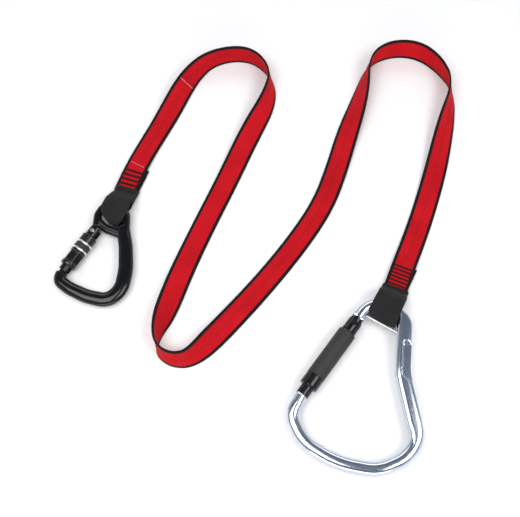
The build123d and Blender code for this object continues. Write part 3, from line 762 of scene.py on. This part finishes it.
def bar_bends(corners, radii):
    """The forged bar's middle through its corners, each bent to its radius."""
    parts = [np.array([corners[0]], float)]
    for before, corner, after, radius in zip(corners, corners[1:], corners[2:], radii):
        back = unit(np.subtract(before, corner))
        ahead = unit(np.subtract(after, corner))
        half = math.acos(np.clip(back @ ahead, -1, 1)) / 2
        centre = corner + unit(back + ahead) * radius / math.sin(half)
        touch = [corner + way * radius / math.tan(half) - centre for way in (back, ahead)]
        first, last = (math.degrees(math.atan2(point[1], point[0])) for point in touch)
        parts.append(bar_arc(centre, radius, first, first + (last - first + 180) % 360 - 180))
    parts.append(np.array([corners[-1]], float))
    return np.concatenate(parts)


def bar_line():
    """The middle of the large body's bar, seen from above, and where its spine starts."""
    arch = bar_arc(ARCH_CENTRE, ARCH_R, ARCH_FROM, SPLAY)
    line = np.concatenate([arch[:-1], bar_bends([tuple(arch[-1])] + BOWL_PATH, BOWL_RADII)])
    along = lengths_along(line)
    stations = np.arange(0, along[-1] - BAR_END_GAP, BAR_STEP)
    return read_at(stations, along, line), arch[-1]


def panel_height(x, y, spine_start):
    """The height of the milled pocket's floor, ramp and walls, which rise past the bar outside it."""
    turn = math.radians(SPLAY)
    away = np.array([x, y]) - spine_start
    along = away[0] * math.sin(turn) - away[1] * math.cos(turn)
    across = away[0] * math.cos(turn) + away[1] * math.sin(turn)
    start, end, inner = PANEL
    end = end + PANEL_END_SLANT * (across - inner)
    into_side = max(0.0, inner + PANEL_WALL_WIDTH - across)
    into_end = max(0.0, along - end + PANEL_WALL_WIDTH)
    ramp = PANEL_RAMP * max(0.0, start - along)
    return PANEL_Z + ramp + PANEL_WALL * (into_side + into_end)


def spine_share(along):
    """How much the bar is squared up: 1 along the spine, fading out before and after it."""
    rising = np.clip((along - SPINE_START) / SPINE_START_BLEND, 0, 1)
    falling = np.clip((SPINE_REACH + SPINE_END_BLEND - along) / SPINE_END_BLEND, 0, 1)
    return float(rising * falling)


def bar_section(half_width, half_thick, squareness):
    """A squared-off oval with evenly spaced points."""
    turns = np.linspace(0, 2 * math.pi, 721)
    power = 2 / squareness
    across = half_width * np.sign(np.cos(turns)) * np.abs(np.cos(turns)) ** power
    height = half_thick * np.sign(np.sin(turns)) * np.abs(np.sin(turns)) ** power
    dense = np.stack([across, height], axis=1)
    along = lengths_along(dense)
    return read_at(np.linspace(0, along[-1], BAR_AROUND, endpoint=False), along, dense)


def make_large_bar(material):
    """The large body's bar: a flattened oval, squarer along the spine, with the milled pocket."""
    line, spine_start = bar_line()
    travel = unit(np.gradient(line, axis=0))
    left = np.stack([-travel[:, 1], travel[:, 0]], axis=1)
    rings = []
    from_spine = lengths_along(line) - math.radians(ARCH_FROM - SPLAY) * ARCH_R
    for middle, side, along in zip(line, left, from_spine):
        spine = spine_share(along)
        width = BAR_HALF_WIDTH + (SPINE_HALF_WIDTH - BAR_HALF_WIDTH) * spine
        squareness = BAR_SQUARENESS + (SPINE_SQUARENESS - BAR_SQUARENESS) * spine
        ring = []
        for u, z in bar_section(width, BAR_HALF_THICK, squareness):
            x, y = middle + side * u
            if z > 0 and along < PANEL_LIMIT:
                z = min(z, panel_height(x, y, spine_start))
            ring.append((x, y, z))
        rings.append(ring)
    points = placed(swing_place("large"), np.array(rings).reshape(-1, 3))
    faces = ring_faces(len(rings), BAR_AROUND)
    bar = add_mesh("large_forged_bar", points, faces, material, crease_deg=26)
    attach(bar, "large_carabiner")


def make_small_rivet(material):
    """The small gate's rivet, domed at both ends."""
    hinge = joint_named("small_gate_hinge")
    place = axes_at(hinge["pos_m"], hinge["axis"], joint_named("small_sleeve_twist")["axis"])
    reach = SMALL_RIVET_REACH
    dome = [
        (-reach, 1.2), (-reach + 0.5, 1.9), (-reach + 1.0, 2.1), (reach - 1.0, 2.1),
        (reach - 0.5, 1.9), (reach, 1.2),
    ]
    rivet = lathe("small_rivet_dome", place, dome, 0.05, material)
    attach(rivet, "small_carabiner")
    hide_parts("small_gate_rivet")


# ---- Materials ---------------------------------------------------------------------------------
class Nodes:
    """A material's node tree, with short calls for the nodes that the materials share."""

    def __init__(self, name):
        self.material = bpy.data.materials.new(name)
        self.material.use_nodes = True
        self.tree = self.material.node_tree
        self.shader = self.tree.nodes["Principled BSDF"]

    def link(self, source, target):
        self.tree.links.new(source, target)

    def set(self, **values):
        for key, value in values.items():
            self.shader.inputs[key.replace("_", " ")].default_value = value

    def attribute(self, name):
        node = self.tree.nodes.new("ShaderNodeAttribute")
        node.attribute_name = name
        return node.outputs["Fac"]

    def position(self):
        return self.tree.nodes.new("ShaderNodeTexCoord").outputs["Object"]

    def math(self, operation, *inputs, clamp=False):
        node = self.tree.nodes.new("ShaderNodeMath")
        node.operation = operation
        node.use_clamp = clamp
        for socket, value in zip(node.inputs, inputs):
            if isinstance(value, (int, float)):
                socket.default_value = value
            else:
                self.link(value, socket)
        return node.outputs[0]

    def wave(self, source, pitch, phase=0.0):
        """0 to 1 and back along a length, once each pitch."""
        turned = self.math("MULTIPLY_ADD", source, 2 * math.pi / pitch, phase)
        return self.math("MULTIPLY_ADD", self.math("COSINE", turned), 0.5, 0.5)

    def noise(self, scale, detail):
        node = self.tree.nodes.new("ShaderNodeTexNoise")
        node.inputs["Scale"].default_value = scale
        node.inputs["Detail"].default_value = detail
        node.inputs["Roughness"].default_value = 0.6
        self.link(self.position(), node.inputs["Vector"])
        return node.outputs["Fac"]

    def ramp(self, source, *stops):
        node = self.tree.nodes.new("ShaderNodeValToRGB")
        elements = node.color_ramp.elements
        while len(elements) < len(stops):
            elements.new(0.5)
        for element, (place, color) in zip(elements, stops):
            element.position = place
            element.color = (*color, 1)
        self.link(source, node.inputs["Fac"])
        return node.outputs["Color"]

    def mix(self, share, first, second):
        node = self.tree.nodes.new("ShaderNodeMix")
        node.data_type = "RGBA"
        self.link(share, node.inputs["Factor"])
        self.link(first, node.inputs["A"])
        self.link(second, node.inputs["B"])
        return node.outputs["Result"]

    def bump(self, height, distance):
        node = self.tree.nodes.new("ShaderNodeBump")
        node.inputs["Distance"].default_value = distance
        node.inputs["Strength"].default_value = 1.0
        self.link(height, node.inputs["Height"])
        self.link(node.outputs["Normal"], self.shader.inputs["Normal"])

    def grey_range(self, source, low, high):
        """Noise from 0 to 1 spread between two values."""
        return self.math("MULTIPLY_ADD", source, high - low, low)


def webbing_material():
    """Red ribbed webbing with black woven edges."""
    n = Nodes("red_webbing")
    across, along = n.attribute("across"), n.attribute("along")
    inner = WEB_WIDTH / 2 - EDGE_BAND
    from_middle = n.math("ABSOLUTE", across)
    edge = n.math("MULTIPLY", n.math("SUBTRACT", from_middle, inner), 1 / (0.25 * MM), clamp=True)
    rib = n.wave(along, RIB_PITCH)
    yarn = n.wave(across, 0.62 * MM)
    slant = n.math("ADD", along, n.math("MULTIPLY", across, 0.85))
    twill = n.wave(slant, 1.05 * MM)
    fibre = n.noise(2600, 4.0)
    patch = n.noise(24, 3.0)
    # The rib wave darkens the colour in the grooves between ribs and lightens their crests: painted shade
    # and painted highlight. The twill, fibre and patch terms are the yarn's own tone.
    rib_shade_and_tone = n.math("MULTIPLY_ADD", rib, 0.34, n.math("MULTIPLY", twill, 0.16))
    rib_shade_and_tone = n.math("ADD", rib_shade_and_tone, n.math("MULTIPLY", fibre, 0.34))
    rib_shade_and_tone = n.math("ADD", rib_shade_and_tone, n.math("MULTIPLY", n.math("SUBTRACT", patch, 0.5), 0.5))
    red = n.ramp(
        rib_shade_and_tone, (0.05, (0.22, 0.001, 0.004)), (0.45, (0.50, 0.0015, 0.009)), (0.95, (0.72, 0.014, 0.020)),
    )
    black = n.ramp(fibre, (0.3, (0.004, 0.003, 0.0035)), (0.8, (0.016, 0.011, 0.012)))
    n.link(n.mix(edge, red, black), n.shader.inputs["Base Color"])
    n.link(n.grey_range(fibre, 0.55, 0.85), n.shader.inputs["Roughness"])
    n.set(Sheen_Weight=0.04, Sheen_Roughness=0.5, Sheen_Tint=(1.0, 0.3, 0.2, 1))
    n.set(Specular_IOR_Level=0.12)
    crossed = n.math("MULTIPLY", n.math("MULTIPLY", yarn, twill), 0.6)
    weave = n.math("ADD", n.math("MULTIPLY", rib, 0.5), crossed)
    n.bump(n.math("ADD", weave, n.math("MULTIPLY", fibre, 0.25)), 0.16 * MM)
    return n.material


def fabric_material():
    """Black close-woven cover cloth with a fine dotted weave."""
    n = Nodes("black_fabric")
    across, along = n.attribute("across"), n.attribute("along")
    dots = n.math("MULTIPLY", n.wave(across, FABRIC_PITCH), n.wave(along, FABRIC_PITCH))
    between_across = n.wave(across, FABRIC_PITCH, math.pi)
    between_along = n.wave(along, FABRIC_PITCH, math.pi)
    shifted = n.math("MULTIPLY", between_across, between_along)
    weave = n.math("MAXIMUM", dots, shifted)
    fibre = n.noise(1900, 4.0)
    patch = n.noise(60, 3.0)
    tone = n.math("ADD", n.math("MULTIPLY", weave, 0.5), n.math("MULTIPLY", fibre, 0.3))
    tone = n.math("ADD", tone, n.math("MULTIPLY", patch, 0.3))
    color = n.ramp(tone, (0.25, (0.001, 0.001, 0.001)), (0.85, (0.024, 0.024, 0.026)))
    n.link(color, n.shader.inputs["Base Color"])
    n.link(n.grey_range(fibre, 0.7, 0.95), n.shader.inputs["Roughness"])
    n.set(Sheen_Weight=0.03, Sheen_Roughness=0.6, Specular_IOR_Level=0.22)
    n.bump(n.math("ADD", weave, n.math("MULTIPLY", fibre, 0.4)), 0.4 * MM)
    return n.material


def thread_material(name, dark, light):
    """Twisted sewing thread."""
    n = Nodes(name)
    fibre = n.noise(2400, 3.0)
    n.link(n.ramp(fibre, (0.3, dark), (0.75, light)), n.shader.inputs["Base Color"])
    n.link(n.grey_range(fibre, 0.5, 0.8), n.shader.inputs["Roughness"])
    n.set(Specular_IOR_Level=0.25)
    n.bump(fibre, 0.08 * MM)
    return n.material


def gloss_black_material():
    """Black anodised metal: near-mirror, with fine unevenness and faint rubbed patches."""
    n = Nodes("black_anodised")
    grain = n.noise(1400, 3.0)
    rubbed = n.noise(70, 4.0)
    color = n.ramp(rubbed, (0.35, (0.002, 0.002, 0.002)), (0.75, (0.005, 0.005, 0.005)))
    n.link(color, n.shader.inputs["Base Color"])
    n.link(n.grey_range(rubbed, 0.12, 0.22), n.shader.inputs["Roughness"])
    n.set(Specular_IOR_Level=0.42)
    n.bump(grain, 0.012 * MM)
    return n.material


def satin_black_material():
    """The small sleeve's black: a little rougher, with a fine grain."""
    n = Nodes("satin_black")
    grain = n.noise(900, 3.0)
    rubbed = n.noise(90, 4.0)
    color = n.ramp(rubbed, (0.35, (0.003, 0.003, 0.003)), (0.75, (0.009, 0.009, 0.009)))
    n.link(color, n.shader.inputs["Base Color"])
    n.link(n.grey_range(grain, 0.16, 0.30), n.shader.inputs["Roughness"])
    n.set(Specular_IOR_Level=0.5)
    n.bump(grain, 0.02 * MM)
    return n.material


def grip_material():
    """Matte knurled black with lighter specks and worn patches."""
    n = Nodes("knurled_grip")
    speck = n.noise(1500, 3.0)
    wear = n.noise(110, 4.0)
    tone = n.math("ADD", n.math("MULTIPLY", speck, 0.6), n.math("MULTIPLY", wear, 0.4))
    color = n.ramp(tone, (0.3, (0.006, 0.006, 0.006)), (0.8, (0.032, 0.032, 0.033)))
    n.link(color, n.shader.inputs["Base Color"])
    n.link(n.grey_range(speck, 0.5, 0.75), n.shader.inputs["Roughness"])
    n.bump(speck, 0.05 * MM)
    return n.material


def metal_material(name, dark, light, rough_low, rough_high, patch_scale=80):
    """Bare metal with slight changes of tone and polish."""
    n = Nodes(name)
    patch = n.noise(patch_scale, 4.0)
    grain = n.noise(1600, 2.0)
    n.link(n.ramp(patch, (0.3, dark), (0.7, light)), n.shader.inputs["Base Color"])
    n.link(n.grey_range(patch, rough_low, rough_high), n.shader.inputs["Roughness"])
    n.set(Metallic=1.0)
    n.bump(grain, 0.006 * MM)
    return n.material


def floor_material():
    n = Nodes("floor_paper")
    color = n.ramp(n.noise(6, 2.0), (0.0, (0.86, 0.86, 0.87)), (1.0, (0.9, 0.9, 0.9)))
    n.link(color, n.shader.inputs["Base Color"])
    n.set(Roughness=0.85, Specular_IOR_Level=0.1)
    return n.material


def paint_nodes(nodes, material):
    for name in nodes:
        node = frame["nodes"][name]
        node.data.materials.clear()
        node.data.materials.append(material)


# ---- Stage -----------------------------------------------------------------------------------------
def make_floor():
    half = FLOOR_SIZE / 2
    points = [(-half, -half, 0), (half, -half, 0), (half, half, 0), (-half, half, 0)]
    add_mesh("floor", points, [(0, 1, 2, 3)], floor_material())


def softbox(name, low, high, power):
    """A big lamp facing straight down, between two corners in plan."""
    data = bpy.data.lights.new(name, "AREA")
    data.shape = "RECTANGLE"
    data.size, data.size_y = high[0] - low[0], high[1] - low[1]
    data.energy = power
    data.color = SOFTBOX_COLOR
    lamp = bpy.data.objects.new(name, data)
    lamp.location = ((low[0] + high[0]) / 2, (low[1] + high[1]) / 2, SOFTBOX_HEIGHT)
    bpy.context.scene.collection.objects.link(lamp)
    return lamp


def make_world():
    """White walls low down, and a darker blue-grey ceiling between the softboxes."""
    world = bpy.data.worlds.new("studio")
    bpy.context.scene.world = world
    world.use_nodes = True
    tree = world.node_tree
    background = tree.nodes["Background"]
    direction = tree.nodes.new("ShaderNodeTexCoord")
    split = tree.nodes.new("ShaderNodeSeparateXYZ")
    ramp = tree.nodes.new("ShaderNodeValToRGB")
    stops = [
        (0.0, (0.90, 0.90, 0.92)), (0.22, (0.95, 0.95, 0.95)), (0.40, (0.34, 0.37, 0.42)),
        (0.70, (0.20, 0.225, 0.27)), (0.93, (0.14, 0.165, 0.215)),
    ]
    while len(ramp.color_ramp.elements) < len(stops):
        ramp.color_ramp.elements.new(0.5)
    for element, (place, color) in zip(ramp.color_ramp.elements, stops):
        element.position = place
        element.color = (*color, 1)
    tree.links.new(direction.outputs["Generated"], split.inputs[0])
    tree.links.new(split.outputs["Z"], ramp.inputs["Fac"])
    tree.links.new(ramp.outputs["Color"], background.inputs["Color"])
    background.inputs["Strength"].default_value = WORLD_STRENGTH


def make_lights():
    softbox("softbox_left", (-0.95, -0.65), (0.06, 0.15), LEFT_POWER)
    softbox("softbox_right", (0.45, -0.75), (1.15, 0.10), RIGHT_POWER)
    softbox("softbox_rear", (-1.2, 1.2), (1.3, 2.2), REAR_POWER)
    front = softbox("softbox_front", (-1.0, -0.25), (1.0, 0.25), FRONT_POWER)
    front.location = (LOOK_AT.x, -1.6, 0.5)
    front.rotation_euler = (FRONT_TILT, 0, 0)


def main():
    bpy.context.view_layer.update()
    make_camera()
    red = webbing_material()
    thread = thread_material("black_thread", (0.006, 0.0015, 0.002), (0.028, 0.005, 0.007))
    light_thread = thread_material("pale_thread", (0.50, 0.22, 0.22), (0.75, 0.45, 0.42))
    line = strap_line()
    make_strap(line, red, make_sewing(line, thread, light_thread))
    fabric = fabric_material()
    make_ends(red, fabric)
    gloss, satin, grip = gloss_black_material(), satin_black_material(), grip_material()
    steel = metal_material("steel", (0.52, 0.52, 0.53), (0.68, 0.68, 0.69), 0.22, 0.34)
    bright = metal_material("bright_ring", (0.74, 0.74, 0.75), (0.84, 0.84, 0.84), 0.24, 0.32)
    cool, pale = (0.56, 0.61, 0.70), (0.67, 0.71, 0.79)
    polished = metal_material("polished_aluminium", cool, pale, 0.13, 0.18, patch_scale=45)
    make_small_body(gloss)
    make_small_rivet(steel)
    make_small_sleeve(satin, grip, bright)
    make_large_bar(polished)
    make_large_sleeve(gloss, grip)
    paint_nodes(["small_inner_gate", "large_inner_gate"], gloss)
    paint_nodes(["large_carabiner_body"], polished)
    hardware = [name for name in frame["nodes"] if name.endswith(("pin", "plunger", "spring"))]
    paint_nodes(hardware + ["captive_bar"], steel)
    paint_nodes(["large_gate_rivet"], satin)
    bpy.context.scene.view_settings.view_transform = "Standard"
    make_floor()
    make_world()
    make_lights()


main()
